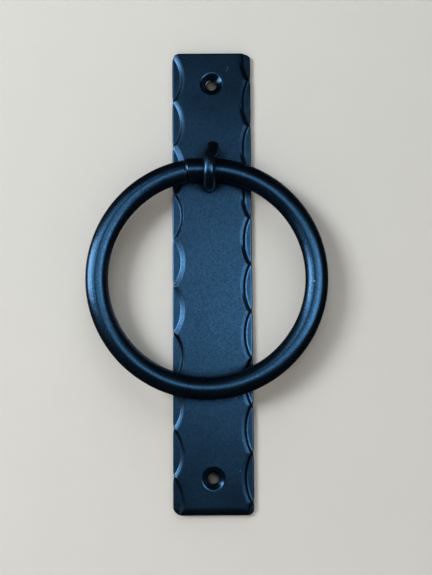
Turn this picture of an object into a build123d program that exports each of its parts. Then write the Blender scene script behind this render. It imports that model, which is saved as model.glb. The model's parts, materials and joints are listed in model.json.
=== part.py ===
"""Forged iron door knocker: hammered backplate, U-shaped staple and round-bar ring.

Millimetres. The origin lies on the back face, midway between the two screw holes.
+Z is up the door, +X is to the right seen from in front, and the front faces -Y.
"""

from build123d import *

import os
from math import ceil, cos, radians, sin, tan

# Driving dimensions
PLATE_WIDTH = 50.8
PLATE_THICKNESS = 4.76
PLATE_TOP_Z = 146.6
PLATE_BOTTOM_Z = -149.3
CORNER_RADIUS = 4.5
FRONT_EDGE_RADIUS = 0.7
BOTTOM_EDGE_RADIUS = 3.6

SCREW_HOLE_SPACING = 252.5
SCREW_HOLE_DIAMETER = 7.14
SCREW_SINK_DIAMETER = 14.4
SCREW_SINK_ANGLE = 90.0

CRESCENT_PITCH = 30.0
CRESCENT_DEPTH = 1.8
CRESCENT_FLANK_WIDTH = 3.0
LEFT_CRESCENT_RADIUS = 23.5
LEFT_CRESCENT_BITE = 4.8
LEFT_FIRST_CUSP_Z = 144.8
RIGHT_CRESCENT_RADIUS = 30.5
RIGHT_CRESCENT_BITE = 3.8
RIGHT_FIRST_CUSP_Z = 159.2

RING_BAR_DIAMETER = 14.3
RING_CENTRELINE_RADIUS = 69.05
RING_CENTRE_X = -3.5
RING_CENTRE_Z = -0.7
RING_TO_PLATE_GAP = 0.15
STRAIGHT_END_ANGLE = 91.7
SEAM_ANGLE = 100.6
SEAM_DEPTH = 1.0
SEAM_WIDTH = 2.4

STAPLE_ROD_DIAMETER = 6.35
STAPLE_LOWER_X = -1.5
STAPLE_UPPER_X = 0.95
STAPLE_LEG_RISE = 23.9
STAPLE_STRAIGHT_HEIGHT = 9.5
RING_ON_STAPLE_GAP = 0.25
LEG_HOLE_CLEARANCE = 0.05
RIVET_SINK_DIAMETER = 9.6
RIVET_SINK_ANGLE = 90.0
RIVET_TAIL_RECESS = 0.1

CUT_OVERSHOOT = 1.0

# Values that follow from them
plate_length = PLATE_TOP_Z - PLATE_BOTTOM_Z
plate_middle_z = (PLATE_TOP_Z + PLATE_BOTTOM_Z) / 2
plate_edge_x = PLATE_WIDTH / 2
screw_hole_z = SCREW_HOLE_SPACING / 2

bar_radius = RING_BAR_DIAMETER / 2
bar_centre_y = -(PLATE_THICKNESS + RING_TO_PLATE_GAP + bar_radius)
ring_centre = Vector(RING_CENTRE_X, bar_centre_y, RING_CENTRE_Z)
ring_top_z = RING_CENTRE_Z + RING_CENTRELINE_RADIUS

rod_radius = STAPLE_ROD_DIAMETER / 2
leg_hole_radius = rod_radius + LEG_HOLE_CLEARANCE
rivet_sink_radius = RIVET_SINK_DIAMETER / 2
lower_leg_z = ring_top_z - bar_radius - rod_radius - RING_ON_STAPLE_GAP
upper_leg_z = lower_leg_z + STAPLE_LEG_RISE
leg_points = [(STAPLE_LOWER_X, 0, lower_leg_z), (STAPLE_UPPER_X, 0, upper_leg_z)]


def crescent_centres(side, radius, bite, first_cusp_z):
    """Centres of the hammered crescents' floors along one long edge; side is -1 or 1."""
    centre_x = side * (plate_edge_x - bite + radius)
    floor_y = -(PLATE_THICKNESS - CRESCENT_DEPTH)
    first_z = first_cusp_z - CRESCENT_PITCH / 2
    count = ceil((first_cusp_z - PLATE_BOTTOM_Z) / CRESCENT_PITCH)
    return [(centre_x, floor_y, first_z - step * CRESCENT_PITCH) for step in range(count)]


# Backplate: a flat bar with rounded corners, seen on the XZ plane whose normal is -Y
with BuildPart() as backplate:
    with BuildSketch(Plane.XZ):
        with Locations((0, plate_middle_z)):
            RectangleRounded(PLATE_WIDTH, plate_length, CORNER_RADIUS)
    extrude(amount=PLATE_THICKNESS)
    front_face = backplate.faces().sort_by(Axis.Y)[0]
    fillet(front_face.edges(), radius=FRONT_EDGE_RADIUS)

    # Soft rounding along the front of the bottom end
    with BuildSketch(Plane.YZ) as bottom_rounding:
        arc_top = (-PLATE_THICKNESS, PLATE_BOTTOM_Z + BOTTOM_EDGE_RADIUS)
        arc_foot = (-PLATE_THICKNESS + BOTTOM_EDGE_RADIUS, PLATE_BOTTOM_Z)
        below_y = -PLATE_THICKNESS - CUT_OVERSHOOT
        below_z = PLATE_BOTTOM_Z - CUT_OVERSHOOT
        with BuildLine():
            RadiusArc(arc_top, arc_foot, BOTTOM_EDGE_RADIUS)
            Polyline(arc_foot, (arc_foot[0], below_z), (below_y, below_z), (below_y, arc_top[1]), arc_top)
        make_face()
    extrude(amount=plate_edge_x + CUT_OVERSHOOT, both=True, mode=Mode.SUBTRACT)

    # Hammered crescents, staggered by half a pitch from one long edge to the other
    cutter_height = CRESCENT_DEPTH + CUT_OVERSHOOT
    flank_slope = CRESCENT_FLANK_WIDTH / CRESCENT_DEPTH
    for side, radius, bite, first_cusp_z in (
        (-1, LEFT_CRESCENT_RADIUS, LEFT_CRESCENT_BITE, LEFT_FIRST_CUSP_Z),
        (1, RIGHT_CRESCENT_RADIUS, RIGHT_CRESCENT_BITE, RIGHT_FIRST_CUSP_Z),
    ):
        with Locations(*crescent_centres(side, radius, bite, first_cusp_z)):
            Cone(
                bottom_radius=radius,
                top_radius=radius + cutter_height * flank_slope,
                height=cutter_height,
                rotation=(90, 0, 0),
                align=(Align.CENTER, Align.CENTER, Align.MIN),
                mode=Mode.SUBTRACT,
            )

    # Two screw holes, countersunk from the front
    with Locations(Plane.XZ.offset(PLATE_THICKNESS)):
        with Locations((0, screw_hole_z), (0, -screw_hole_z)):
            CounterSinkHole(
                radius=SCREW_HOLE_DIAMETER / 2,
                counter_sink_radius=SCREW_SINK_DIAMETER / 2,
                depth=PLATE_THICKNESS,
                counter_sink_angle=SCREW_SINK_ANGLE,
            )

    # Two holes for the staple's legs, countersunk from the back for the riveted tails
    back_plane = Plane(origin=(0, 0, 0), x_dir=(1, 0, 0), z_dir=(0, 1, 0))
    with Locations(back_plane):
        with Locations(*[(x, -z) for x, _, z in leg_points]):
            CounterSinkHole(
                radius=leg_hole_radius,
                counter_sink_radius=rivet_sink_radius,
                depth=PLATE_THICKNESS,
                counter_sink_angle=RIVET_SINK_ANGLE,
            )
backplate.part.label = "backplate"

# Staple: one round rod bent to a U, its plane tilted so that the upper leg stands further right
leg_offset = Vector(*leg_points[1]) - Vector(*leg_points[0])
leg_spacing = leg_offset.length
staple_plane = Plane(
    origin=leg_points[0],
    x_dir=leg_offset,
    z_dir=leg_offset.cross(Vector(0, -1, 0)),
)
with BuildPart() as staple:
    bend_start = PLATE_THICKNESS + STAPLE_STRAIGHT_HEIGHT
    with BuildLine(staple_plane) as staple_path:
        lower_leg = Line((0, RIVET_TAIL_RECESS), (0, bend_start))
        bend = RadiusArc((0, bend_start), (leg_spacing, bend_start), leg_spacing / 2)
        upper_leg = Line((leg_spacing, bend_start), (leg_spacing, RIVET_TAIL_RECESS))
    with BuildSketch(Plane(origin=staple_path.line @ 0, z_dir=staple_path.line % 0)):
        Circle(rod_radius)
    sweep(path=staple_path.line)

    # Riveted tails that fill the countersinks in the plate's back
    tail_slope = tan(radians(RIVET_SINK_ANGLE / 2))
    tail_radius = rivet_sink_radius - LEG_HOLE_CLEARANCE - RIVET_TAIL_RECESS * tail_slope
    with Locations(*[(x, -RIVET_TAIL_RECESS, z) for x, _, z in leg_points]):
        Cone(
            bottom_radius=tail_radius,
            top_radius=rod_radius,
            height=(tail_radius - rod_radius) / tail_slope,
            rotation=(90, 0, 0),
            align=(Align.CENTER, Align.CENTER, Align.MIN),
        )
staple.part.label = "staple"


def ring_section_plane(angle):
    """Plane across the bar at an angle from +X, its normal pointing anticlockwise round the ring."""
    outward = Vector(cos(radians(angle)), 0, sin(radians(angle)))
    onward = Vector(-sin(radians(angle)), 0, cos(radians(angle)))
    return Plane(origin=ring_centre + outward * RING_CENTRELINE_RADIUS, x_dir=outward, z_dir=onward)


# Ring: round bar bent to a circle, its last stretch left straight where it meets the other end
with BuildPart() as ring:
    straight_plane = ring_section_plane(STRAIGHT_END_ANGLE)
    seam_plane = ring_section_plane(SEAM_ANGLE)
    seam_span = radians(SEAM_ANGLE - STRAIGHT_END_ANGLE)
    with BuildSketch(straight_plane):
        Circle(bar_radius)
    extrude(amount=RING_CENTRELINE_RADIUS * tan(seam_span) + bar_radius)
    split(bisect_by=seam_plane, keep=Keep.BOTTOM)
    with BuildSketch(straight_plane):
        Circle(bar_radius)
    revolve(
        axis=Axis(ring_centre, (0, 1, 0)),
        revolution_arc=360 - (SEAM_ANGLE - STRAIGHT_END_ANGLE),
    )

    # Groove left all round the butt joint
    groove_plane = Plane(origin=seam_plane.origin, x_dir=seam_plane.z_dir, z_dir=(0, -1, 0))
    groove_foot = bar_radius - SEAM_DEPTH
    groove_top = bar_radius + SEAM_DEPTH
    with BuildSketch(groove_plane):
        with BuildLine():
            Polyline((0, groove_foot), (SEAM_WIDTH, groove_top), (-SEAM_WIDTH, groove_top), close=True)
        make_face()
    revolve(axis=Axis(seam_plane.origin, seam_plane.z_dir), mode=Mode.SUBTRACT)
ring.part.label = "ring"

os.makedirs("parts", exist_ok=True)
export_step(backplate.part, "parts/backplate.step")
export_step(staple.part, "parts/staple.step")
export_step(ring.part, "parts/ring.step")
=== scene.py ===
"""Forged iron door knocker: hammered backplate, rod staple and round-bar ring in satin black paint.

Lengths in this script are millimetres until a mesh or a light is made, when MM turns them into metres.
+Z is up the door, +X to the right seen from in front, and the front faces -Y.
"""
import json
import math

import bpy
import numpy as np
from mathutils import Matrix, Vector

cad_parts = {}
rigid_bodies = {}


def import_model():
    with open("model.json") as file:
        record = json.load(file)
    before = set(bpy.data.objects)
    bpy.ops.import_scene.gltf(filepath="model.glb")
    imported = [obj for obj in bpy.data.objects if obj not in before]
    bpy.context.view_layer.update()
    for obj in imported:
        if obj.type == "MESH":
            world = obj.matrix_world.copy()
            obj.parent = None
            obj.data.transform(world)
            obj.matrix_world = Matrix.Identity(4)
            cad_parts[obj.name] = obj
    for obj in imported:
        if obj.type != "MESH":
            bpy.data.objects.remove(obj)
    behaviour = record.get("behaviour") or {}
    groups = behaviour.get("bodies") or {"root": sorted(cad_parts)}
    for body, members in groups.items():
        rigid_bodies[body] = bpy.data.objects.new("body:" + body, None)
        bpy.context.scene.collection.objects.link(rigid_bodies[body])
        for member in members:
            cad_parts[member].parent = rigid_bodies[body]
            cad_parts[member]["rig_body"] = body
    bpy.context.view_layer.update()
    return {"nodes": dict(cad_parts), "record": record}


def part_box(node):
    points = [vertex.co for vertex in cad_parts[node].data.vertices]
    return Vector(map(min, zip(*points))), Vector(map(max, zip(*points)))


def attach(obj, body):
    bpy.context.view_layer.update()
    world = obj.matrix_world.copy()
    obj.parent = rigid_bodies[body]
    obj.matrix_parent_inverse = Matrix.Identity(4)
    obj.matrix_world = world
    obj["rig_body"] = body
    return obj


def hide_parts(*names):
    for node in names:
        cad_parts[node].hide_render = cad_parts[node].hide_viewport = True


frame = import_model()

MM = 0.001


# ---------------------------------------------------------------------------
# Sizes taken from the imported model
# ---------------------------------------------------------------------------

def box_mm(node):
    """Lowest and highest corner of a CAD node, in millimetres."""
    low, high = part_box(node)
    return np.array(low) / MM, np.array(high) / MM


def mount(name):
    """The record's mount of that name."""
    return next(m for m in frame["record"]["mounts"] if m["name"] == name)


plate_low, plate_high = box_mm("backplate")
HALF_WIDTH = (plate_high[0] - plate_low[0]) / 2
TOP_Z, BOTTOM_Z = plate_high[2], plate_low[2]
THICKNESS = plate_high[1] - plate_low[1]
PLATE_MIDDLE_Z = (TOP_Z + BOTTOM_Z) / 2

screw_dims = mount("screw_holes")["dims"]
SCREW_HOLE_Z = screw_dims["spacing_y_mm"] / 2
SCREW_HOLE_RADIUS = screw_dims["hole_r_mm"]

ring_low, ring_high = box_mm("ring")
BAR_RADIUS = (ring_high[1] - ring_low[1]) / 2
RING_RADIUS = (ring_high[0] - ring_low[0]) / 2 - BAR_RADIUS
RING_CENTRE = np.array([
    (ring_low[0] + ring_high[0]) / 2,
    (ring_low[1] + ring_high[1]) / 2,
    ring_low[2] + BAR_RADIUS + RING_RADIUS,
])

# The staple's 1/4 in rod, and how far right of its lower leg the upper one stands
ROD_RADIUS = 3.175
STAPLE_LEAN = 2.45
staple_low, staple_high = box_mm("staple")
TAIL_RADIUS = (staple_high[0] - staple_low[0] - STAPLE_LEAN) / 2
LOWER_LEG = np.array([staple_low[0] + TAIL_RADIUS, staple_low[2] + TAIL_RADIUS])
UPPER_LEG = np.array([staple_high[0] - TAIL_RADIUS, staple_high[2] - TAIL_RADIUS])
STAPLE_FRONT_Y = staple_low[1]
TAIL_BACK_Y = staple_high[1]


# ---------------------------------------------------------------------------
# Mesh helpers
# ---------------------------------------------------------------------------

def smoothstep(low, high, value):
    """0 at low and before it, 1 at high and past it, and an S-curve between; low may be the larger one."""
    share = np.clip((value - low) / (high - low), 0, 1)
    return share * share * (3 - 2 * share)


def waves(seed, points, length, count=9):
    """Smooth noise of about -1 to 1 at 3-D points: a seeded sum of sine waves of that wavelength."""
    random = np.random.default_rng(seed)
    total = np.zeros(points.shape[:-1])
    for _ in range(count):
        direction = random.normal(size=points.shape[-1])
        direction /= np.linalg.norm(direction)
        wavelength = length * random.uniform(0.7, 1.5)
        phase = random.uniform(0, math.tau)
        total += np.sin(points @ direction * (math.tau / wavelength) + phase)
    return total / math.sqrt(count * 2)


def forging_waves(points, layers):
    """Sum of layers of waves in millimetres, each given as (seed, height, wavelength)."""
    return sum(height * waves(seed, points, length) for seed, height, length in layers)


def make_piece(name, replaced_node, vertices, faces, attributes, material):
    """A smooth-shaded mesh from millimetre vertices that stands for a CAD node and rides on its body."""
    mesh = bpy.data.meshes.new(name)
    mesh.from_pydata((np.asarray(vertices) * MM).tolist(), [], faces)
    mesh.validate()
    for attribute_name, values in attributes.items():
        layer = mesh.attributes.new(attribute_name, "FLOAT", "POINT")
        layer.data.foreach_set("value", np.asarray(values, np.float32))
    mesh.shade_smooth()
    piece = bpy.data.objects.new(name, mesh)
    bpy.context.scene.collection.objects.link(piece)
    mesh.materials.append(material)
    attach(piece, frame["nodes"][replaced_node]["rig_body"])
    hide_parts(replaced_node)
    return piece


class MeshBuilder:
    """Collects vertices and quads, and stitches loops of vertices together."""

    def __init__(self):
        self.vertices = []
        self.faces = []

    def add(self, points):
        """Adds points and returns their indices."""
        start = len(self.vertices)
        self.vertices.extend(map(tuple, np.asarray(points, float)))
        return list(range(start, len(self.vertices)))

    def bridge(self, loop_a, loop_b):
        """Quads between two closed loops of the same length."""
        count = len(loop_a)
        for i in range(count):
            j = (i + 1) % count
            self.faces.append((loop_a[i], loop_a[j], loop_b[j], loop_b[i]))

    def bridge_to_coarse(self, fine, coarse, flipped):
        """Faces between a closed loop and a matching one that has only some of its vertices, else -1."""
        kept = [i for i, vertex in enumerate(coarse) if vertex >= 0]
        count = len(fine)
        for start, end in zip(kept, kept[1:] + [kept[0] + count]):
            face = [fine[i % count] for i in range(start, end + 1)]
            face = [coarse[start], coarse[end % count], *reversed(face)]
            self.faces.append(tuple(reversed(face)) if flipped else tuple(face))

    def cap(self, loop, centre):
        """A fan of triangles from a closed loop to one centre point."""
        middle = self.add([centre])[0]
        for i, vertex in enumerate(loop):
            self.faces.append((vertex, loop[(i + 1) % len(loop)], middle))


# ---------------------------------------------------------------------------
# Backplate
# ---------------------------------------------------------------------------

# Sides are -1 for the left edge and 1 for the right one, and crescents are numbered from the top down
LEFT, RIGHT = -1, 1
CRESCENT_PITCH = 30.0
FIRST_CUSP_Z = {LEFT: 144.8, RIGHT: 159.2}
# Radius of the crescents' floors, and how far they reach in from the edge
CRESCENT_RADIUS = {LEFT: 23.5, RIGHT: 30.5}
CRESCENT_BITE = {LEFT: 4.65, RIGHT: 3.5}
# Slopes down a flank at distances in from its start, for each way the hammer fell
FLANKS = {
    "wide": ((0.0, 0.3, 0.5, 3.5, 3.7, 3.9), (0.0, 0.3, 0.46, 0.5, 0.15, 0.0)),
    "soft": ((0.0, 0.4, 0.7, 1.6, 1.9, 3.0, 3.2, 3.6), (0.0, 0.15, 0.32, 0.36, 1.0, 1.0, 0.15, 0.0)),
    "sharp": ((0.0, 0.7, 1.1, 1.3, 2.6, 2.8, 3.4, 3.6), (0.0, 0.08, 0.2, 1.4, 1.4, 0.2, 0.15, 0.0)),
    "ledge": ((0.0, 0.3, 2.0, 2.3, 3.5, 3.65, 4.3, 4.5), (0.0, 0.2, 0.24, 0.95, 0.95, 0.24, 0.2, 0.0)),
    "crisp": ((0.0, 1.1, 1.35, 1.5, 2.6, 2.75, 3.4, 3.6), (0.0, 0.03, 0.1, 1.4, 1.4, 0.12, 0.05, 0.0)),
    "even": ((0.0, 0.5, 0.8, 3.0, 3.2, 4.2, 4.5), (0.0, 0.2, 0.74, 0.74, 0.2, 0.12, 0.0)),
}
# The flank of each left-hand crescent, and how much of the crisp flank is in its upper half
LEFT_FLANKS = ("soft", "soft", "wide", "sharp", "wide", "wide", "sharp", "soft", "soft", "soft")
LEFT_CRISPNESS = (0.0,) * 8 + (1.0,) * 2
# How much of the even flank is in the lower half of each right-hand crescent; the rest is a ledge
RIGHT_EVENNESS = (1.0,) * 5 + (0.6, 0.3) + (0.0,) * 4
# Distances above a crescent's middle, and below it, over which the other flank takes over
CRISP_RISE = -1.0, 4.0
EVEN_RISE = 1.0, 7.0
# How much the crescents differ at random in radius, in reach, in depth and in place
CRESCENT_SEED = 7
RADIUS_RANGE = -0.8, 0.8
BITE_RANGE = -0.2, 0.2
DEPTH_RANGE = 0.93, 1.07
PLACE_RANGE = -0.4, 0.4

# Distance of the fillet's line from the floor's edge, and the distances from that line where it fades in
FILLET_FROM_FLOOR = 0.45
FILLET_FADE = 0.6, 0.25
# A distance well inside the outline, where no edge rounding reaches
FAR_IN = 99.0

# Edge roundings of the front: how far in they reach and how deep they fall
SIDE_ROUNDING = 1.1
SIDE_ROUNDING_DEPTH = 0.65
TOP_ROUNDING = 1.1
BOTTOM_ROUNDING_LENGTH = 5.6
BOTTOM_ROUNDING_DEPTH = 3.6
BACK_ROUNDING = 0.35
# How far and how widely the edge is pulled in at a cusp, and how steeply that fades towards the middle
CUSP_PULL_IN = 0.4
CUSP_HALF_WIDTH = 2.2
CUSP_FADE_POWER = 6

# Corner radii across and along the plate: (side, end) -> (across, along)
TOP, BOTTOM = 1, -1
CORNERS = {
    (LEFT, TOP): (5.2, 4.2), (RIGHT, TOP): (6.0, 3.2),
    (LEFT, BOTTOM): (6.2, 5.4), (RIGHT, BOTTOM): (4.4, 4.8),
}

# Layers of forging waves: (seed, height, wavelength)
PLATE_WAVES = ((3, 0.018, 24.0), (4, 0.006, 8.0))


def crescents():
    """(side, centre x, centre z, radius, depth factor, number) of every hammered crescent."""
    random = np.random.default_rng(CRESCENT_SEED)
    found = []
    for side, first_cusp in FIRST_CUSP_Z.items():
        count = math.ceil((first_cusp - BOTTOM_Z) / CRESCENT_PITCH)
        for number in range(count):
            radius = CRESCENT_RADIUS[side] + random.uniform(*RADIUS_RANGE)
            bite = CRESCENT_BITE[side] + random.uniform(*BITE_RANGE)
            factor = random.uniform(*DEPTH_RANGE)
            centre_z = first_cusp - CRESCENT_PITCH * (number + 0.5) + random.uniform(*PLACE_RANGE)
            found.append((side, side * (HALF_WIDTH - bite + radius), centre_z, radius, factor, number))
    return found


def flank_depth(kind, from_floor):
    """Depth reached on a flank at a distance out from the crescent's floor."""
    distances, slopes = FLANKS[kind]
    samples = np.linspace(0, distances[-1], 301)
    steps = np.interp(samples, distances, slopes) * (samples[1] - samples[0])
    fallen = np.concatenate([[0.0], np.cumsum((steps[1:] + steps[:-1]) / 2)])
    return np.interp(distances[-1] - from_floor, samples, fallen)


def crescent_depth(x, z):
    """How far the hammered crescents sink the face at x, z."""
    sunk = np.zeros_like(x)
    for side, centre_x, centre_z, radius, factor, number in crescents():
        from_floor = np.hypot(x - centre_x, z - centre_z) - radius
        if side == LEFT:
            kind, other_kind = LEFT_FLANKS[number], "crisp"
            share = LEFT_CRISPNESS[number] * smoothstep(*CRISP_RISE, z - centre_z)
        else:
            kind, other_kind = "ledge", "even"
            share = RIGHT_EVENNESS[number] * smoothstep(*EVEN_RISE, centre_z - z)
        depth = flank_depth(kind, from_floor)
        depth += (flank_depth(other_kind, from_floor) - depth) * share
        sunk = np.maximum(sunk, depth * factor)
    return sunk


def fillet_line(x, z):
    """1 along the fillets where the flanks meet the floors, else 0."""
    nearest = np.full_like(x, FAR_IN)
    for _, centre_x, centre_z, radius, _, _ in crescents():
        from_fillet = np.hypot(x - centre_x, z - centre_z) - radius - FILLET_FROM_FLOOR
        nearest = np.minimum(nearest, np.abs(from_fillet))
    return smoothstep(*FILLET_FADE, nearest)


def edge_pull_in(side, z):
    """How far the long edge sits back at each cusp, where the bar wasn't spread by the hammer."""
    from_cusp = (z - FIRST_CUSP_Z[side]) % CRESCENT_PITCH
    from_cusp = np.minimum(from_cusp, CRESCENT_PITCH - from_cusp)
    return CUSP_PULL_IN * np.exp(-((from_cusp / CUSP_HALF_WIDTH) ** 2))


def rounding_drop(distance, length, depth):
    """Drop of an elliptical edge rounding at a distance in from the edge."""
    share = np.clip(1 - distance / length, 0, 1)
    return depth * (1 - np.sqrt(1 - share**2))


def shape_outline(x, z):
    """Moves a rectangular grid onto the rounded outline.

    Returns the new x and z, the distance in from the edge, and the share of that edge that is an end.
    """
    new_x, new_z = x.copy(), z.copy()
    side_gap = HALF_WIDTH - np.abs(x)
    end_gap = np.where(z > PLATE_MIDDLE_Z, TOP_Z - z, z - BOTTOM_Z)
    distance = np.minimum(side_gap, end_gap)
    end_share = (end_gap < side_gap).astype(float)
    for (side, end), (across, along) in CORNERS.items():
        end_z = TOP_Z if end == TOP else BOTTOM_Z
        a = (side * x - (HALF_WIDTH - across)) / across
        b = (end * (z - end_z) + along) / along
        inside = (a > 0) & (b > 0)
        a, b = np.clip(a, 0, 1), np.clip(b, 0, 1)
        round_a = a * np.sqrt(1 - b**2 / 2)
        round_b = b * np.sqrt(1 - a**2 / 2)
        new_x = np.where(inside, side * (HALF_WIDTH - across + across * round_a), new_x)
        new_z = np.where(inside, end_z + end * along * (round_b - 1), new_z)
        reach = np.hypot(round_a, round_b)
        length = np.hypot(across * round_a, along * round_b) / np.maximum(reach, 1e-9)
        distance = np.where(inside, (1 - reach) * length, distance)
        end_share = np.where(inside, round_b**2 / np.maximum(reach, 1e-9) ** 2, end_share)
    pull = np.where(x > 0, edge_pull_in(RIGHT, new_z), edge_pull_in(LEFT, new_z))
    new_x = new_x * (1 - pull / HALF_WIDTH * np.abs(new_x / HALF_WIDTH) ** CUSP_FADE_POWER)
    return new_x, new_z, distance, end_share


def front_y(x, z, distance, end_share):
    """Height of the front face, as y, with its crescents, edge roundings and slight forging waves."""
    bottom = z < PLATE_MIDDLE_Z
    end_length = np.where(bottom, BOTTOM_ROUNDING_LENGTH, TOP_ROUNDING)
    end_depth = np.where(bottom, BOTTOM_ROUNDING_DEPTH, TOP_ROUNDING)
    length = SIDE_ROUNDING + (end_length - SIDE_ROUNDING) * end_share
    depth = SIDE_ROUNDING_DEPTH + (end_depth - SIDE_ROUNDING_DEPTH) * end_share
    drop = rounding_drop(distance, length, depth)
    sunk = np.maximum(crescent_depth(x, z), drop * end_share) + drop * (1 - end_share)
    points = np.stack([x, z], -1)
    return -THICKNESS + sunk + forging_waves(points, PLATE_WAVES) * smoothstep(0.0, 2.0, distance)


def edge_steps(length):
    """Distances in from a rounded edge, close together where the rounding is steep."""
    angles = np.linspace(0, math.pi / 2, 6)[:-1]
    return length * (1 - np.cos(angles))


# Spacing of the plate grid's lines, and how far in from the long edges they stay close together
COLUMN_STEP = 0.27
ROW_STEP = 0.33
FINE_REACH = 8.8
MIDDLE_COLUMNS = 8
# How far up the bottom's rounding its steep part goes, and the number of lines above that
STEEP_BOTTOM = 0.16 * BOTTOM_ROUNDING_LENGTH
BOTTOM_ROWS = 11


def grid_lines():
    """The plate grid's x and z lines: fine at the hammered edges, coarser down the middle."""
    fine = np.arange(SIDE_ROUNDING, FINE_REACH, COLUMN_STEP)
    middle = np.linspace(FINE_REACH + 0.1, HALF_WIDTH, MIDDLE_COLUMNS)
    inward = np.concatenate([edge_steps(SIDE_ROUNDING), fine, middle])
    x_lines = np.concatenate([-HALF_WIDTH + inward, (HALF_WIDTH - inward)[::-1][1:]])
    body_low = BOTTOM_Z + BOTTOM_ROUNDING_LENGTH
    body_high = TOP_Z - TOP_ROUNDING
    row_count = round((body_high - body_low) / ROW_STEP) + 1
    z_lines = np.concatenate([
        BOTTOM_Z + edge_steps(STEEP_BOTTOM),
        BOTTOM_Z + np.linspace(STEEP_BOTTOM, BOTTOM_ROUNDING_LENGTH, BOTTOM_ROWS)[:-1],
        np.linspace(body_low, body_high, row_count),
        (TOP_Z - edge_steps(TOP_ROUNDING))[::-1],
    ])
    return x_lines, z_lines


def thin_out(count, step, kept):
    """Every step-th index below count, with the last one and the kept ones."""
    return sorted(set(range(0, count, step)) | {count - 1} | set(kept))


# Through holes, each in the middle of a square patch of rings; the sizes are half the patch's side
SCREW_SINK_RADIUS = 6.95
SCREW_LIP_RADIUS = 2.0
SCREW_PATCH = 10.5
LEG_PATCH = 7.0
LEG_HOLE_RADIUS = ROD_RADIUS + 0.05
RIVET_SINK_RADIUS = TAIL_RADIUS + 0.15
# Broken edges of the holes: what they add to the radius, at distances behind the front or at y in the back
LEG_FRONT_BREAK = ((0.12, 0.0), (0.03, 0.04), (0.0, 0.3))
SCREW_BACK_BREAK = ((0.0, -0.3), (0.08, -0.1), (0.25, 0.0))


def screw_hole_wall():
    """Countersink with a softly rounded lip, the drilled hole, and a small break at the back.

    Like the next wall, a list of (radius, y) from front to back.
    """
    lip_reach = SCREW_LIP_RADIUS * math.tan(math.pi / 8)
    points = []
    for angle in np.linspace(0, math.pi / 4, 8):
        radius = SCREW_SINK_RADIUS + lip_reach - SCREW_LIP_RADIUS * math.sin(angle)
        points.append((radius, -THICKNESS + SCREW_LIP_RADIUS * (1 - math.cos(angle))))
    cone_start = points[-1]
    cone_depth = cone_start[0] - SCREW_HOLE_RADIUS
    for share in np.linspace(0, 1, 8)[1:]:
        points.append((cone_start[0] - cone_depth * share, cone_start[1] + cone_depth * share))
    return points + [(SCREW_HOLE_RADIUS + wider, y) for wider, y in SCREW_BACK_BREAK]


def leg_hole_wall():
    """Plain hole that opens to a countersink at the back for the riveted tail."""
    sink_depth = RIVET_SINK_RADIUS - LEG_HOLE_RADIUS
    points = [(LEG_HOLE_RADIUS + wider, -THICKNESS + behind) for wider, behind in LEG_FRONT_BREAK]
    for share in np.linspace(0, 1, 5):
        points.append((LEG_HOLE_RADIUS + sink_depth * share, -sink_depth * (1 - share)))
    return points


def hole_list():
    """(centre x, centre z, patch half-size, wall) of the plate's four through holes."""
    return [
        (0.0, SCREW_HOLE_Z, SCREW_PATCH, screw_hole_wall()),
        (0.0, -SCREW_HOLE_Z, SCREW_PATCH, screw_hole_wall()),
        (*LOWER_LEG, LEG_PATCH, leg_hole_wall()),
        (*UPPER_LEG, LEG_PATCH, leg_hole_wall()),
    ]


def block_perimeter(index, i0, i1, k0, k1):
    """Vertex indices round a rectangular block of the grid, in order; -1 where the grid has no vertex."""
    loop = [index[i, k0] for i in range(i0, i1)]
    loop += [index[i1, k] for k in range(k0, k1)]
    loop += [index[i, k1] for i in range(i1, i0, -1)]
    loop += [index[i0, k] for k in range(k1, k0, -1)]
    return [int(v) for v in loop]


# Every how many-th grid line the plain back keeps, and where the rim's loops lie from back to front
BACK_COLUMN_STEP = 6
BACK_ROW_STEP = 8
RIM_SHARES = (0.2, 0.45, 0.7)
# Where the rings of a hole's patch lie from its square outline to the hole, at the front and at the back
FRONT_PATCH_SHARES = (0.22, 0.42, 0.6, 0.75, 0.87, 0.95)
BACK_PATCH_SHARES = (0.7, 0.3)
# How many of a wall's first rings fade out the forging waves
WAVE_FADE_RINGS = 5


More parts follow.
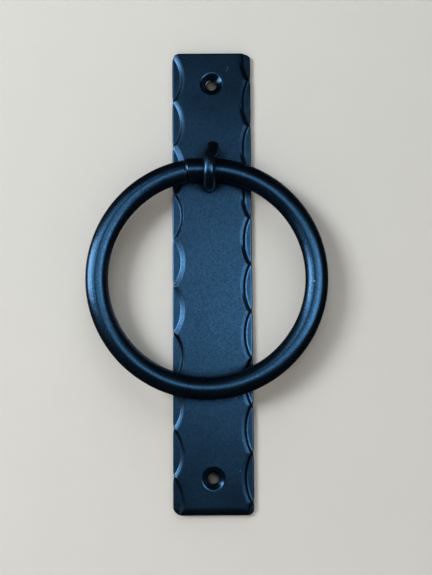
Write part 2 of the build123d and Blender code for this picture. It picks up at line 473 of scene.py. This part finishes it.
def build_backplate(material):
    """The hammered plate as one closed mesh: fine front, plain back, rounded rim and four through holes."""
    x_lines, z_lines = grid_lines()
    x, z = np.meshgrid(x_lines, z_lines, indexing="ij")
    x, z, distance, end_share = shape_outline(x, z)
    builder = MeshBuilder()
    front = np.stack([x, front_y(x, z, distance, end_share), z], -1)
    back = np.stack([x, -rounding_drop(distance, BACK_ROUNDING, BACK_ROUNDING), z], -1)
    front_index = np.array(builder.add(front.reshape(-1, 3))).reshape(x.shape)

    # Blocks of the grid that the hole patches take over
    blocks = []
    for centre_x, centre_z, half, _ in hole_list():
        i0, i1 = np.searchsorted(x_lines, (centre_x - half, centre_x + half))
        k0, k1 = np.searchsorted(z_lines, (centre_z - half, centre_z + half))
        blocks.append((int(i0), int(i1), int(k0), int(k1)))

    # The back keeps only some of the grid's lines
    columns = thin_out(len(x_lines), BACK_COLUMN_STEP, [i for block in blocks for i in block[:2]])
    rows = thin_out(len(z_lines), BACK_ROW_STEP, [k for block in blocks for k in block[2:]])
    back_index = np.full(x.shape, -1)
    kept = np.ix_(columns, rows)
    back_index[kept] = np.array(builder.add(back[kept].reshape(-1, 3))).reshape(len(columns), len(rows))

    add_grid_faces(builder, front_index, range(len(x_lines)), range(len(z_lines)), blocks, False)
    add_grid_faces(builder, back_index, columns, rows, blocks, True)

    # Rim between the two grids
    last_i, last_k = len(x_lines) - 1, len(z_lines) - 1
    front_rim = block_perimeter(front_index, 0, last_i, 0, last_k)
    back_rim = block_perimeter(back_index, 0, last_i, 0, last_k)
    start = back.reshape(-1, 3)[front_rim]
    end = front.reshape(-1, 3)[front_rim]
    loops = [builder.add(start + (end - start) * share) for share in RIM_SHARES] + [front_rim]
    builder.bridge_to_coarse(loops[0], back_rim, False)
    for lower, upper in zip(loops, loops[1:]):
        builder.bridge(lower, upper)

    for (centre_x, centre_z, _, wall), block in zip(hole_list(), blocks):
        add_hole(builder, front_index, back_index, block, (centre_x, centre_z), wall)
    vertices = np.array(builder.vertices)
    attributes = plate_attributes(vertices)
    return make_piece("hammered_backplate", "backplate", vertices, builder.faces, attributes, material)


def add_grid_faces(builder, index, columns, rows, blocks, flipped):
    """Quads between the given grid lines, leaving out the blocks of the holes."""
    for i, next_i in zip(columns, columns[1:]):
        for k, next_k in zip(rows, rows[1:]):
            if any(i0 <= i < i1 and k0 <= k < k1 for i0, i1, k0, k1 in blocks):
                continue
            quad = [int(index[c]) for c in ((i, k), (next_i, k), (next_i, next_k), (i, next_k))]
            builder.faces.append(tuple(reversed(quad)) if flipped else tuple(quad))


def add_hole(builder, front_index, back_index, block, centre, wall):
    """Fills one block on both faces with rings that close in on a round hole, and adds its wall."""
    front_loop = block_perimeter(front_index, *block)
    back_loop = block_perimeter(back_index, *block)
    square = np.array([builder.vertices[v] for v in front_loop])[:, (0, 2)]
    angles = np.arctan2(square[:, 1] - centre[1], square[:, 0] - centre[0])
    unit = np.stack([np.cos(angles), np.sin(angles)], -1)

    def ring_points(points, y):
        return np.stack([points[:, 0], y, points[:, 1]], -1)

    def closing(radius, shares):
        rim = np.array(centre) + unit * radius
        return [square + (rim - square) * share for share in shares]

    def height(points):
        far = np.full(len(points), FAR_IN)
        return front_y(points[:, 0], points[:, 1], far, far * 0)

    loops = [front_loop]
    for points in closing(wall[0][0], FRONT_PATCH_SHARES):
        loops.append(builder.add(ring_points(points, height(points))))
    rim_wave = height(np.array(centre) + unit * wall[0][0]) + THICKNESS
    for step, (radius, y) in enumerate(wall):
        fade = max(0.0, 1 - step / WAVE_FADE_RINGS)
        points = np.array(centre) + unit * radius
        loops.append(builder.add(ring_points(points, y + rim_wave * fade)))
    for points in closing(wall[-1][0], BACK_PATCH_SHARES):
        loops.append(builder.add(ring_points(points, np.zeros(len(points)))))
    for outer, inner in zip(loops, loops[1:]):
        builder.bridge(outer, inner)
    builder.bridge_to_coarse(loops[-1], back_loop, True)


# ---------------------------------------------------------------------------
# Wear and painted highlights, stored with the vertices, and marks in the paint
# ---------------------------------------------------------------------------

# Wear and a painted highlight along the plate's long edges, over distances in from them, and a painted
# highlight along the fillets
EDGE_WEAR_AND_SHEEN = 0.7
EDGE_WEAR_AND_SHEEN_REACH = 1.5, 0.5
FILLET_HIGHLIGHT = 0.9
# Share of the thickness, up from the back, that isn't worn
UNWORN_SHARE = 0.4
# Distances out from the countersinks over which their smoother cut starts
CUT_REACH = 1.0, 0.2
# Marks as x, y, z and radius; chips show bare grey metal, pits are rough and dull
PLATE_CHIPS = (
    (10.6, -4.8, 136.6, 0.32),
    (9.9, -4.8, 135.0, 0.28),
    (16.5, -4.8, -121.5, 0.34),
    (14.4, -4.8, -76.2, 0.32),
)
RING_CHIPS = ((62.9, -19.0, -3.8, 0.75), (7.1, -15.6, 71.8, 0.4), (9.3, -15.6, 71.4, 0.5))
RING_PITS = ((-73.3, -19.0, -0.2, 0.8),)


def plate_attributes(vertices):
    """Painted highlight along the fillets, wear and painted highlight along the edges of the plate, and the
    smoother cuts of its countersinks.
    """
    x, y, z = vertices.T
    on_front = y < -THICKNESS * UNWORN_SHARE
    edge = smoothstep(*EDGE_WEAR_AND_SHEEN_REACH, HALF_WIDTH - np.abs(x)) * on_front
    # Painted highlight: the fillet lines and, partly, the long edges lighten and gloss the paint
    wear_and_sheen = np.clip(EDGE_WEAR_AND_SHEEN * edge + FILLET_HIGHLIGHT * fillet_line(x, z) * on_front, 0, 1)
    from_hole = np.minimum(np.hypot(x, z - SCREW_HOLE_Z), np.hypot(x, z + SCREW_HOLE_Z))
    return {"wear_and_sheen": wear_and_sheen, "cut": smoothstep(*CUT_REACH, from_hole - SCREW_SINK_RADIUS)}


# ---------------------------------------------------------------------------
# Swept bars
# ---------------------------------------------------------------------------

def sweep_rings(centres, across, outward, radii, segments, flat=0.0):
    """Points of circles round a path: shape (path, segment, 3). flat squares the section a little."""
    angles = -np.arange(segments) / segments * math.tau
    squareness = 1 - flat * (np.cos(4 * angles) - 1) / 2
    circle_a = np.cos(angles) * squareness
    circle_b = np.sin(angles) * squareness
    offsets = across[:, None, :] * circle_a[None, :, None] + outward[:, None, :] * circle_b[None, :, None]
    return centres[:, None, :] + offsets * radii[:, None, None]


# ---------------------------------------------------------------------------
# Ring
# ---------------------------------------------------------------------------

# Angles from the right, anticlockwise: where the straight stretch leaves the circle, and the butt joint
STRAIGHT_END_ANGLE = 91.7
SEAM_ANGLE = 100.6
SEAM_DEPTH = 1.05
SEAM_HALF_WIDTH = 1.15
# Above 1, the groove's sides bulge into it; below 1, they are hollow
SEAM_BULGE = 1.3
BEAD_HEIGHT = 0.35
BEAD_HALF_WIDTH = 0.5
# The straight end stands outside the circle: past the joint the centre line steps back onto it this fast
STEP_LENGTH = 0.35
# Wear of the groove's lips and its width, and of the bar's top over distances to either side of the staple
LIP_WEAR = 0.5
LIP_WEAR_WIDTH = 0.35
RUB_WEAR = 0.25
RUB_REACH = 9.0, 3.0
# Steps round the ring, how many of them lie close together at the joint, and over how many half-widths of it
RING_STEPS = 900
SEAM_STEPS = 60
SEAM_ZONE = 2.4
BAR_SEGMENTS = 72
# Layers of forging waves as for the plate, and how far the waves sit below the bar's surface
RING_WAVES = ((11, 0.03, 26.0), (12, 0.012, 7.0))
RING_SINK = 0.03


def ring_angles():
    """Angles in degrees round the ring from the seam back to the seam, dense near the seam."""
    half_zone = math.degrees(SEAM_ZONE * SEAM_HALF_WIDTH / RING_RADIUS)
    near = np.linspace(0, half_zone, SEAM_STEPS // 2, endpoint=False)
    far = np.linspace(half_zone, 360 - half_zone, RING_STEPS - SEAM_STEPS, endpoint=False)
    back = np.linspace(360 - half_zone, 360, SEAM_STEPS // 2, endpoint=False)
    return SEAM_ANGLE + np.concatenate([near, far, back])


def build_ring(material):
    """The ring as one closed tube: an arc, a straight last stretch and the groove at the butt joint."""
    degrees = ring_angles()
    angle = np.radians(degrees)
    zero = np.zeros_like(angle)
    outward = np.stack([np.cos(angle), zero, np.sin(angle)], -1)
    forward = np.tile([0.0, -1.0, 0.0], (len(angle), 1))

    # The straight stretch leaves the circle along its tangent
    past_tangent = np.radians(np.clip(degrees - 360 - STRAIGHT_END_ANGLE, 0, None))
    straight_rise = RING_RADIUS * (1 / np.cos(past_tangent) - 1)
    along = (degrees - SEAM_ANGLE + 180) % 360 - 180
    from_seam = np.radians(along) * RING_RADIUS
    end_rise = RING_RADIUS * (1 / math.cos(math.radians(SEAM_ANGLE - STRAIGHT_END_ANGLE)) - 1)
    step_over = end_rise * smoothstep(STEP_LENGTH, 0.0, from_seam) * (from_seam >= 0)
    centres = RING_CENTRE + outward * (RING_RADIUS + straight_rise + step_over)[:, None]

    # V groove with a small weld bead in its bottom
    groove = SEAM_DEPTH * np.clip(1 - np.abs(from_seam) / SEAM_HALF_WIDTH, 0, 1) ** SEAM_BULGE
    bead = BEAD_HEIGHT * np.clip(1 - (from_seam / BEAD_HALF_WIDTH) ** 2, 0, 1)
    radii = BAR_RADIUS - groove + bead
    rings = sweep_rings(centres, outward, forward, radii, BAR_SEGMENTS)
    direction = rings - centres[:, None, :]
    direction /= np.linalg.norm(direction, axis=-1, keepdims=True)
    rings += direction * (forging_waves(rings, RING_WAVES) - RING_SINK)[..., None]

    builder = MeshBuilder()
    loops = [builder.add(points) for points in rings]
    for loop, following in zip(loops, loops[1:] + loops[:1]):
        builder.bridge(loop, following)
    vertices = np.array(builder.vertices)
    attributes = ring_attributes(vertices, from_seam)
    return make_piece("round_bar_ring", "ring", vertices, builder.faces, attributes, material)


def ring_attributes(vertices, from_seam):
    """Wear where the bar rubs in the staple and at the groove's lips."""
    from_lip = np.abs(np.repeat(from_seam, BAR_SEGMENTS)) - SEAM_HALF_WIDTH
    lips = np.exp(-((from_lip / LIP_WEAR_WIDTH) ** 2))
    in_upper_half = vertices[:, 2] > RING_CENTRE[2]
    rub = smoothstep(*RUB_REACH, np.abs(vertices[:, 0] - LOWER_LEG[0])) * in_upper_half
    return {"wear_and_sheen": np.clip(LIP_WEAR * lips + RUB_WEAR * rub, 0, 1)}


# ---------------------------------------------------------------------------
# Staple
# ---------------------------------------------------------------------------

LEG_STEPS = 40
BEND_STEPS = 72
ROD_SEGMENTS = 48
ROD_FLATNESS = 0.05
STRAIGHT_HEIGHT = 9.5
# The bend stands out furthest a little below its middle, and the hammer has widened it
BEND_SKEW = 0.2
BEND_WIDENING = 0.12
# The upper leg in front of the plate: wider, thicker, and moved a little left and up
LEG_WIDENING = 0.12
LEG_THICKENING = 0.06
LEG_SHIFT_X, LEG_SHIFT_Z = -0.3, 0.45
# Turns of the bend over which the rod eases across and over which the upper leg's spread starts
LEAN_TURNS = math.radians(104), math.radians(136)
SPREAD_TURNS = math.radians(110), math.radians(150)
# Distances in front of the plate over which the spread, the bend's widening and the forging waves start
SPREAD_RISE = 0.8, 4.5
BEND_RISE = 2.0, 9.0
WAVES_RISE = 0.5, 3.0
# Wear at the front of the bend, and how far in front of the plate it starts
BEND_WEAR = 0.1
BEND_WEAR_START = 12
# Layers of forging waves as for the plate, and how far the waves sit below the rod's surface
ROD_WAVES = ((21, 0.05, 9.0),)
TAIL_WAVES = ((22, 0.04, 4.0),)
ROD_SINK = 0.02
# Where the loops on a tail's end lie, as shares of its radius
TAIL_SHARES = (0.8, 0.55, 0.28)


def staple_path():
    """Centre line from the lower tail to the upper one, easing across at the top.

    Returns its points and their spread, which is 1 along the upper leg and fades to 0 at both of its ends.
    """
    rise = UPPER_LEG[1] - LOWER_LEG[1]
    bend_radius_z = rise / 2
    bend_start_y = -THICKNESS - STRAIGHT_HEIGHT
    bend_radius_y = bend_start_y - (STAPLE_FRONT_Y + ROD_RADIUS)
    tail = np.linspace(TAIL_BACK_Y, bend_start_y, LEG_STEPS)
    bend = np.linspace(0, math.pi, BEND_STEPS)[1:-1]
    middle_z = (UPPER_LEG[1] + LOWER_LEG[1]) / 2
    bulge = np.sin(bend) * (1 + BEND_SKEW * np.cos(bend))
    y = np.concatenate([tail, bend_start_y - bend_radius_y * bulge / bulge.max(), tail[::-1]])
    z = np.concatenate([
        np.full(len(tail), LOWER_LEG[1]),
        middle_z - bend_radius_z * np.cos(bend),
        np.full(len(tail), UPPER_LEG[1]),
    ])
    turn = np.concatenate([np.zeros(len(tail)), bend, np.full(len(tail), math.pi)])
    x = LOWER_LEG[0] + (UPPER_LEG[0] - LOWER_LEG[0]) * smoothstep(*LEAN_TURNS, turn)
    spread = smoothstep(*SPREAD_TURNS, turn) * smoothstep(*SPREAD_RISE, -THICKNESS - y)
    return np.stack([x + LEG_SHIFT_X * spread, y, z + LEG_SHIFT_Z * spread], -1), spread


def build_staple(material):
    """The bent rod with its riveted tails, as one closed mesh."""
    centres, spread = staple_path()
    tangent = np.gradient(centres, axis=0)
    tangent /= np.linalg.norm(tangent, axis=1, keepdims=True)
    across = np.array([1.0, 0.0, 0.0]) - tangent * tangent[:, :1]
    across /= np.linalg.norm(across, axis=1, keepdims=True)
    outward = np.cross(across, tangent)
    from_back = TAIL_BACK_Y - centres[:, 1]
    tail_growth = np.clip(TAIL_RADIUS - ROD_RADIUS - from_back, 0, None)
    radii = ROD_RADIUS * (1 + LEG_THICKENING * spread) + tail_growth
    bend_share = smoothstep(*BEND_RISE, -THICKNESS - centres[:, 1])
    widening = np.maximum(BEND_WIDENING * bend_share, LEG_WIDENING * spread)
    across *= (1 + widening)[:, None]
    rings = sweep_rings(centres, across, outward, radii, ROD_SEGMENTS, ROD_FLATNESS)
    direction = rings - centres[:, None, :]
    direction /= np.linalg.norm(direction, axis=-1, keepdims=True)
    clear_of_plate = smoothstep(*WAVES_RISE, -THICKNESS - rings[..., 1])
    rings += direction * (forging_waves(rings, ROD_WAVES) * clear_of_plate - ROD_SINK)[..., None]

    builder = MeshBuilder()
    loops = [builder.add(points) for points in rings]
    for loop, following in zip(loops, loops[1:]):
        builder.bridge(loop, following)
    for loop, centre, order in ((loops[0], centres[0], -1), (loops[-1], centres[-1], 1)):
        edge = np.array([builder.vertices[v] for v in loop])
        previous = loop
        for share in TAIL_SHARES:
            points = centre + (edge - centre) * share
            points[:, 1] += forging_waves(points, TAIL_WAVES)
            inner = builder.add(points)
            builder.bridge(*((previous, inner) if order > 0 else (inner, previous)))
            previous = inner
        builder.cap(previous if order > 0 else previous[::-1], centre)
    vertices = np.array(builder.vertices)
    wear_and_sheen = BEND_WEAR * smoothstep(-THICKNESS - BEND_WEAR_START, STAPLE_FRONT_Y, vertices[:, 1])
    attributes = {"wear_and_sheen": wear_and_sheen}
    return make_piece("bent_rod_staple", "staple", vertices, builder.faces, attributes, material)


# ---------------------------------------------------------------------------
# Satin black paint
# ---------------------------------------------------------------------------

# Colours of the black paint from patch to patch, where it is rubbed and where it carries painted highlights,
# and of the bare metal in a chip
PAINT_DARK = (0.0004, 0.0006, 0.0009, 1.0)
PAINT_LIGHT = (0.0010, 0.0014, 0.0020, 1.0)
PAINT_RUBBED_AND_SHEEN = (0.008, 0.009, 0.011, 1.0)
BARE_METAL = (0.13, 0.15, 0.18, 1.0)
# Tint of the paint's reflections, which the photo's cool light turns steel blue
SHEEN_TINT = (0.18, 0.52, 1.0, 1.0)
# Noise of the orange peel, of its finer grain and of the patches: scale, detail and roughness
PAINT_NOISES = ((900.0, 3.0, 0.55), (2600.0, 2.0, 0.6), (60.0, 4.0, 0.6))
# How much the patches and pits add to the roughness, and the peel's tops, wear and cuts take off it
PATCH_DULLNESS, PIT_DULLNESS = 0.16, 0.4
PEEL_SMOOTHNESS, WEAR_SMOOTHNESS, CUT_SMOOTHNESS = 0.12, 0.05, 0.12
# Gloss where nothing changes it, and how much the peel adds and the wear with its painted highlights adds
PLAIN_GLOSS, PEEL_GLOSS, WEAR_AND_SHEEN_GLOSS = 0.8, 1.2, 0.5
# How far noise pulls a spot's edge about, the noise's scale, and the solid share of a spot's radius
SPOT_RAGGEDNESS = 0.9
SPOT_NOISE_SCALE = 2200.0
SPOT_CORE = 0.6
# Height of the orange peel, and of its grain as a share of that
PEEL_HEIGHT = 0.07
GRAIN_SHARE = 0.4
# Painted shade in the nooks where pieces meet, as lost gloss: the reach of its occlusion, how open a spot is
# from darkest to brightest, and the gloss left in the darkest
PAINTED_SHADE_REACH = 10.0
PAINTED_SHADE_OPENNESS = 0.50, 0.78
PAINTED_SHADE_GLOSS = 0.05


def node(tree, kind, inputs=None, **settings):
    """Adds a shader node, sets its properties, and sets or links its inputs."""
    made = tree.nodes.new(kind)
    for key, value in settings.items():
        setattr(made, key, value)
    for key, value in (inputs or {}).items():
        if isinstance(value, bpy.types.NodeSocket):
            tree.links.new(value, made.inputs[key])
        else:
            made.inputs[key].default_value = value
    return made


def math_node(tree, operation, a, b=0.0):
    """A maths node's output socket."""
    return node(tree, "ShaderNodeMath", {0: a, 1: b}, operation=operation).outputs[0]


def map_range(tree, value, from_min, from_max, to_min, to_max, **settings):
    """Output socket of a node that maps one range of values onto another and clamps it."""
    return node(tree, "ShaderNodeMapRange", {
        "Value": value, "From Min": from_min, "From Max": from_max, "To Min": to_min, "To Max": to_max,
    }, **settings).outputs[0]


def scaled(tree, value, factor, middle=0.0):
    """A value's distance from a middle, times a factor."""
    if middle:
        value = math_node(tree, "SUBTRACT", value, middle)
    return math_node(tree, "MULTIPLY", value, factor)


def mix_colour(tree, share, colour, other):
    """Output socket of a blend between two colours."""
    return node(tree, "ShaderNodeMix", {0: share, 6: colour, 7: other}, data_type="RGBA").outputs[2]


def spots(tree, place, marks):
    """Mask of small irregular spots at the given places in millimetres."""
    mask = 0.0
    ragged = node(tree, "ShaderNodeTexNoise", {"Vector": place, "Scale": SPOT_NOISE_SCALE, "Detail": 2.0})
    reach = (SPOT_RAGGEDNESS * MM,) * 3
    jitter = node(tree, "ShaderNodeVectorMath", {0: ragged.outputs["Color"], 1: reach}, operation="MULTIPLY")
    moved = node(tree, "ShaderNodeVectorMath", {0: place, 1: jitter.outputs[0]}, operation="ADD")
    for x, y, z, radius in marks:
        centre = tuple((c + SPOT_RAGGEDNESS / 2) * MM for c in (x, y, z))
        gap = node(tree, "ShaderNodeVectorMath", {0: moved.outputs[0], 1: centre}, operation="DISTANCE")
        near = map_range(tree, gap.outputs["Value"], radius * MM, radius * MM * SPOT_CORE, 0.0, 1.0)
        mask = math_node(tree, "MAXIMUM", near, mask)
    return mask


def satin_black_paint(name, roughness, chips=(), pits=()):
    """Satin black paint over forged iron: orange peel, patchy sheen, rubbed edges with painted highlights on
    the plate's edges and fillets, painted shade in the nooks, and small chips.
    """
    material = bpy.data.materials.new(name)
    material.use_nodes = True
    tree = material.node_tree
    tree.nodes.clear()
    place = node(tree, "ShaderNodeTexCoord").outputs["Object"]
    peel, grain, patches = (
        node(tree, "ShaderNodeTexNoise", {
            "Vector": place, "Scale": scale, "Detail": detail, "Roughness": rough,
        }) for scale, detail, rough in PAINT_NOISES
    )
    wear_and_sheen = node(tree, "ShaderNodeAttribute", attribute_name="wear_and_sheen").outputs["Fac"]
    cut = node(tree, "ShaderNodeAttribute", attribute_name="cut").outputs["Fac"]
    chip = spots(tree, place, chips)
    pit = spots(tree, place, pits)

    patchy = patches.outputs[0]
    paint = mix_colour(tree, patchy, PAINT_DARK, PAINT_LIGHT)
    # Painted highlight along the plate's fillets and edges, real wear on the ring and staple
    worn_and_sheen = mix_colour(tree, math_node(tree, "MULTIPLY", wear_and_sheen, patchy), paint, PAINT_RUBBED_AND_SHEEN)
    colour = mix_colour(tree, chip, worn_and_sheen, BARE_METAL)

    # Roughness: uneven from patch to patch, smoother where rubbed, cut or on the peel's tops, rough in pits
    dullness = math_node(tree, "ADD", scaled(tree, patchy, PATCH_DULLNESS, 0.5), roughness)
    peaks = scaled(tree, peel.outputs[0], PEEL_SMOOTHNESS, 0.5)
    for smoother in (scaled(tree, wear_and_sheen, WEAR_SMOOTHNESS), scaled(tree, cut, CUT_SMOOTHNESS), peaks):
        dullness = math_node(tree, "SUBTRACT", dullness, smoother)
    dullness = math_node(tree, "ADD", dullness, scaled(tree, pit, PIT_DULLNESS))

    # Gloss: speckled by the peel, stronger where rubbed and along the painted highlights, and cut by painted
    # shade in the nooks where pieces meet
    gloss = math_node(tree, "ADD", scaled(tree, peel.outputs[0], PEEL_GLOSS, 0.5), PLAIN_GLOSS)
    gloss = math_node(tree, "ADD", gloss, scaled(tree, wear_and_sheen, WEAR_AND_SHEEN_GLOSS))
    # Painted shade: ambient occlusion dims the gloss in the nooks and contact gaps between the pieces
    painted_shade = node(tree, "ShaderNodeAmbientOcclusion", {"Distance": PAINTED_SHADE_REACH * MM}, samples=4).outputs["AO"]
    unshaded_share = map_range(tree, painted_shade, *PAINTED_SHADE_OPENNESS, PAINTED_SHADE_GLOSS, 1.0, interpolation_type="SMOOTHSTEP")
    gloss = math_node(tree, "MULTIPLY", gloss, unshaded_share)

    height = math_node(tree, "ADD", peel.outputs[0], scaled(tree, grain.outputs[0], GRAIN_SHARE))
    bump = node(tree, "ShaderNodeBump", {"Strength": 0.5, "Distance": PEEL_HEIGHT * MM, "Height": height})
    shader = node(tree, "ShaderNodeBsdfPrincipled", {
        "Base Color": colour,
        "Roughness": dullness,
        "IOR": 1.5,
        "Specular IOR Level": gloss,
        "Specular Tint": SHEEN_TINT,
        "Normal": bump.outputs[0],
    })
    output = node(tree, "ShaderNodeOutputMaterial")
    tree.links.new(shader.outputs[0], output.inputs[0])
    return material


# ---------------------------------------------------------------------------
# Studio
# ---------------------------------------------------------------------------

FLOOR_Z = -310.0
WALL_HALF = 900.0
DAYLIGHT = (0.85, 0.94, 1.0)
STAGE_COLOUR = (0.66, 0.61, 0.56)
# Colour of the door seen through the screw holes, and the brightness left in its shaded corner
SHADED_COLOUR = tuple(c * 0.16 for c in STAGE_COLOUR)
CORNER_BRIGHTNESS = 0.12
DISC_SIDES = 32
# Share of the stage's brightness that the paint doesn't reflect
REFLECTION_LOSS = 0.97
# A ray that starts this near behind a see-through surface passes it
TOUCHING = 1.5


def stage_material(name, colour, see_through_back, shaded_corner=False):
    """Pale matt surface, dimmer in the paint's reflections.

    A wall's back can be seen through, and a shaded surface darkens towards its upper right corner.
    """
    material = bpy.data.materials.new(name)
    material.use_nodes = True
    tree = material.node_tree
    tree.nodes.clear()
    path = node(tree, "ShaderNodeLightPath")
    grain = node(tree, "ShaderNodeTexNoise", {"Scale": 40.0, "Detail": 3.0})
    shade = math_node(tree, "ADD", scaled(tree, grain.outputs[0], 0.04), 0.98)
    lost = scaled(tree, path.outputs["Is Glossy Ray"], REFLECTION_LOSS)
    level = math_node(tree, "MULTIPLY", shade, math_node(tree, "SUBTRACT", 1.0, lost))
    if shaded_corner:
        place = node(tree, "ShaderNodeTexCoord").outputs["Generated"]
        across, _, up = node(tree, "ShaderNodeSeparateXYZ", {"Vector": place}).outputs
        corner = math_node(tree, "ADD", scaled(tree, across, 0.45), scaled(tree, up, 0.55))
        fading = map_range(tree, corner, 0.45, 0.75, 1.0, CORNER_BRIGHTNESS)
        level = math_node(tree, "MULTIPLY", level, fading)
    tint = node(tree, "ShaderNodeVectorMath", {0: colour, "Scale": level}, operation="SCALE")
    surface = node(tree, "ShaderNodeBsdfDiffuse", {"Color": tint.outputs[0]}).outputs[0]
    if see_through_back:
        behind = node(tree, "ShaderNodeNewGeometry").outputs["Backfacing"]
        touching = math_node(tree, "LESS_THAN", path.outputs["Ray Length"], TOUCHING * MM)
        clear = math_node(tree, "MAXIMUM", behind, touching)
        clear = math_node(tree, "MAXIMUM", clear, path.outputs["Is Shadow Ray"])
        nothing = node(tree, "ShaderNodeBsdfTransparent").outputs[0]
        mixed = node(tree, "ShaderNodeMixShader", {0: clear, 1: surface, 2: nothing})
        surface = mixed.outputs[0]
    output = node(tree, "ShaderNodeOutputMaterial")
    tree.links.new(surface, output.inputs[0])
    return material


def stage_face(name, corners, material):
    """A flat stage surface from its corners in millimetres."""
    mesh = bpy.data.meshes.new(name)
    mesh.from_pydata([tuple(c * MM for c in corner) for corner in corners], [], [tuple(range(len(corners)))])
    mesh.materials.append(material)
    face = bpy.data.objects.new(name, mesh)
    bpy.context.scene.collection.objects.link(face)
    return face


def disc_corners(centre, radius):
    """Corners of a small disc that faces the front."""
    angles = np.arange(DISC_SIDES) / DISC_SIDES * math.tau
    return [(centre[0] + radius * math.cos(a), centre[1], centre[2] + radius * math.sin(a)) for a in angles]


def collection_of(name, objects):
    """A collection that only says which objects a light falls on."""
    collection = bpy.data.collections.new(name)
    for item in objects:
        collection.objects.link(item)
    return collection


def soft_light(receivers, name, azimuth, elevation, distance, width, height, radiance):
    """A soft rectangular light that faces the ring's middle and falls on one collection.

    Azimuth is degrees to the right of straight in front, distance and size are millimetres, and
    radiance is the brightness of its surface.
    """
    data = bpy.data.lights.new(name, "AREA")
    data.shape = "RECTANGLE"
    data.size, data.size_y = width * MM, height * MM
    data.energy = radiance * math.pi * data.size * data.size_y
    data.color = DAYLIGHT
    light = bpy.data.objects.new(name, data)
    bpy.context.scene.collection.objects.link(light)
    turn, lift = math.radians(azimuth), math.radians(elevation)
    outward = Vector((math.sin(turn) * math.cos(lift), -math.cos(turn) * math.cos(lift), math.sin(lift)))
    light.location = (Vector(RING_CENTRE) + outward * distance) * MM
    light.rotation_euler = outward.to_track_quat("Z", "Y").to_euler()
    light.light_linking.receiver_collection = receivers


def build_stage():
    """Plain pale wall close behind the plate, and a pale floor."""
    wall_y = plate_high[1] + 0.1
    wall = stage_material("pale_wall", STAGE_COLOUR, True)
    floor = stage_material("pale_floor", STAGE_COLOUR, False)
    wall_top, floor_half = FLOOR_Z + 2 * WALL_HALF, 2 * WALL_HALF
    around = ((-1, -1), (1, -1), (1, 1), (-1, 1))
    wall_corners = [(x * WALL_HALF, wall_y, FLOOR_Z if z < 0 else wall_top) for x, z in around]
    floor_corners = [(x * floor_half, y * floor_half, FLOOR_Z) for x, y in around]
    surfaces = [stage_face("wall", wall_corners, wall), stage_face("floor", floor_corners, floor)]

    # The door surface in the shade of each screw hole
    shaded = stage_material("shaded_wall", SHADED_COLOUR, True, True)
    for place, z in (("upper", SCREW_HOLE_Z), ("lower", -SCREW_HOLE_Z)):
        corners = disc_corners((0.0, wall_y - 0.04, z), SCREW_HOLE_RADIUS + 0.2)
        surfaces.append(stage_face(f"hole_shade_{place}", corners, shaded))
    return surfaces


# Name, azimuth, elevation, distance, width, height and radiance of each light
KNOCKER_LIGHTS = (
    ("left_window", -70, 8, 440, 330, 190, 14.0),
    ("left_glow", -37, 10, 480, 150, 190, 6.0),
    ("right_lamp", 34, 0, 420, 220, 220, 8.0),
    ("front_fill", 4, 3, 600, 300, 260, 3.8),
    ("high_fill", -35, 27, 600, 450, 220, 1.7),
    ("back_fill", 160, 25, 1000, 700, 700, 5.0),
)
BACK_LIGHTS = (
    ("rear_right", 138, -3, 900, 560, 420, 5.0),
    ("rear_left", -138, -3, 900, 560, 420, 4.0),
)
STAGE_LIGHTS = (
    ("left_wash", -48, 18, 1900, 700, 700, 20.0),
    ("top_wash", 10, 62, 2600, 2200, 2200, 2.9),
    ("back_wash", 165, 50, 2600, 2200, 2200, 2.9),
)


def build_lights(backplate, ring, staple, surfaces):
    """Window, lamp and fills for the knocker, more for its flat back, and wide washes for the stage."""
    for name, receivers, lights in (
        ("knocker", (backplate, ring, staple), KNOCKER_LIGHTS),
        ("plate_and_staple", (backplate, staple), BACK_LIGHTS),
        ("stage", surfaces, STAGE_LIGHTS),
    ):
        collection = collection_of(name, receivers)
        for light in lights:
            soft_light(collection, *light)


def build_world():
    """A background that is pale to the camera and dim to everything else."""
    world = bpy.data.worlds.new("studio")
    bpy.context.scene.world = world
    world.use_nodes = True
    tree = world.node_tree
    tree.nodes.clear()
    path = node(tree, "ShaderNodeLightPath")
    seen = node(tree, "ShaderNodeBackground", {"Color": (0.80, 0.80, 0.80, 1.0), "Strength": 1.0})
    fill = node(tree, "ShaderNodeBackground", {"Color": (0.85, 0.92, 1.0, 1.0), "Strength": 0.008})
    mixed = node(tree, "ShaderNodeMixShader", {
        0: path.outputs["Is Camera Ray"], 1: fill.outputs[0], 2: seen.outputs[0],
    })
    output = node(tree, "ShaderNodeOutputWorld")
    tree.links.new(mixed.outputs[0], output.inputs[0])


# Place from the plate's middle, and lens in millimetres
CAMERA_PLACE = (0.0, -528.9, -46.6)
CAMERA_PITCH = math.radians(4.535)
CAMERA_YAW = math.radians(0.242)
CAMERA_ROLL = math.radians(-0.36)
CAMERA_LENS = 51.78


def build_camera():
    """Camera a little below the plate's middle, looking slightly up at it."""
    forward = Vector((
        math.sin(CAMERA_YAW) * math.cos(CAMERA_PITCH),
        math.cos(CAMERA_YAW) * math.cos(CAMERA_PITCH),
        math.sin(CAMERA_PITCH),
    ))
    level = Vector((math.cos(CAMERA_YAW), -math.sin(CAMERA_YAW), 0.0))
    upright = level.cross(forward)
    right = level * math.cos(CAMERA_ROLL) + upright * math.sin(CAMERA_ROLL)
    up = right.cross(forward)
    data = bpy.data.cameras.new("camera")
    data.lens = CAMERA_LENS
    camera = bpy.data.objects.new("camera", data)
    bpy.context.scene.collection.objects.link(camera)
    place = Vector(CAMERA_PLACE) + Vector((0.0, 0.0, PLATE_MIDDLE_Z))
    rotation = Matrix((right, up, -forward)).transposed().to_4x4()
    camera.matrix_world = Matrix.Translation(place * MM) @ rotation
    bpy.context.scene.camera = camera


bpy.context.scene.view_settings.view_transform = "Standard"
plate_paint = satin_black_paint("plate_paint", 0.36, PLATE_CHIPS)
ring_paint = satin_black_paint("ring_paint", 0.28, RING_CHIPS, RING_PITS)
staple_paint = satin_black_paint("staple_paint", 0.27)
build_lights(build_backplate(plate_paint), build_ring(ring_paint), build_staple(staple_paint), build_stage())
build_world()
build_camera()
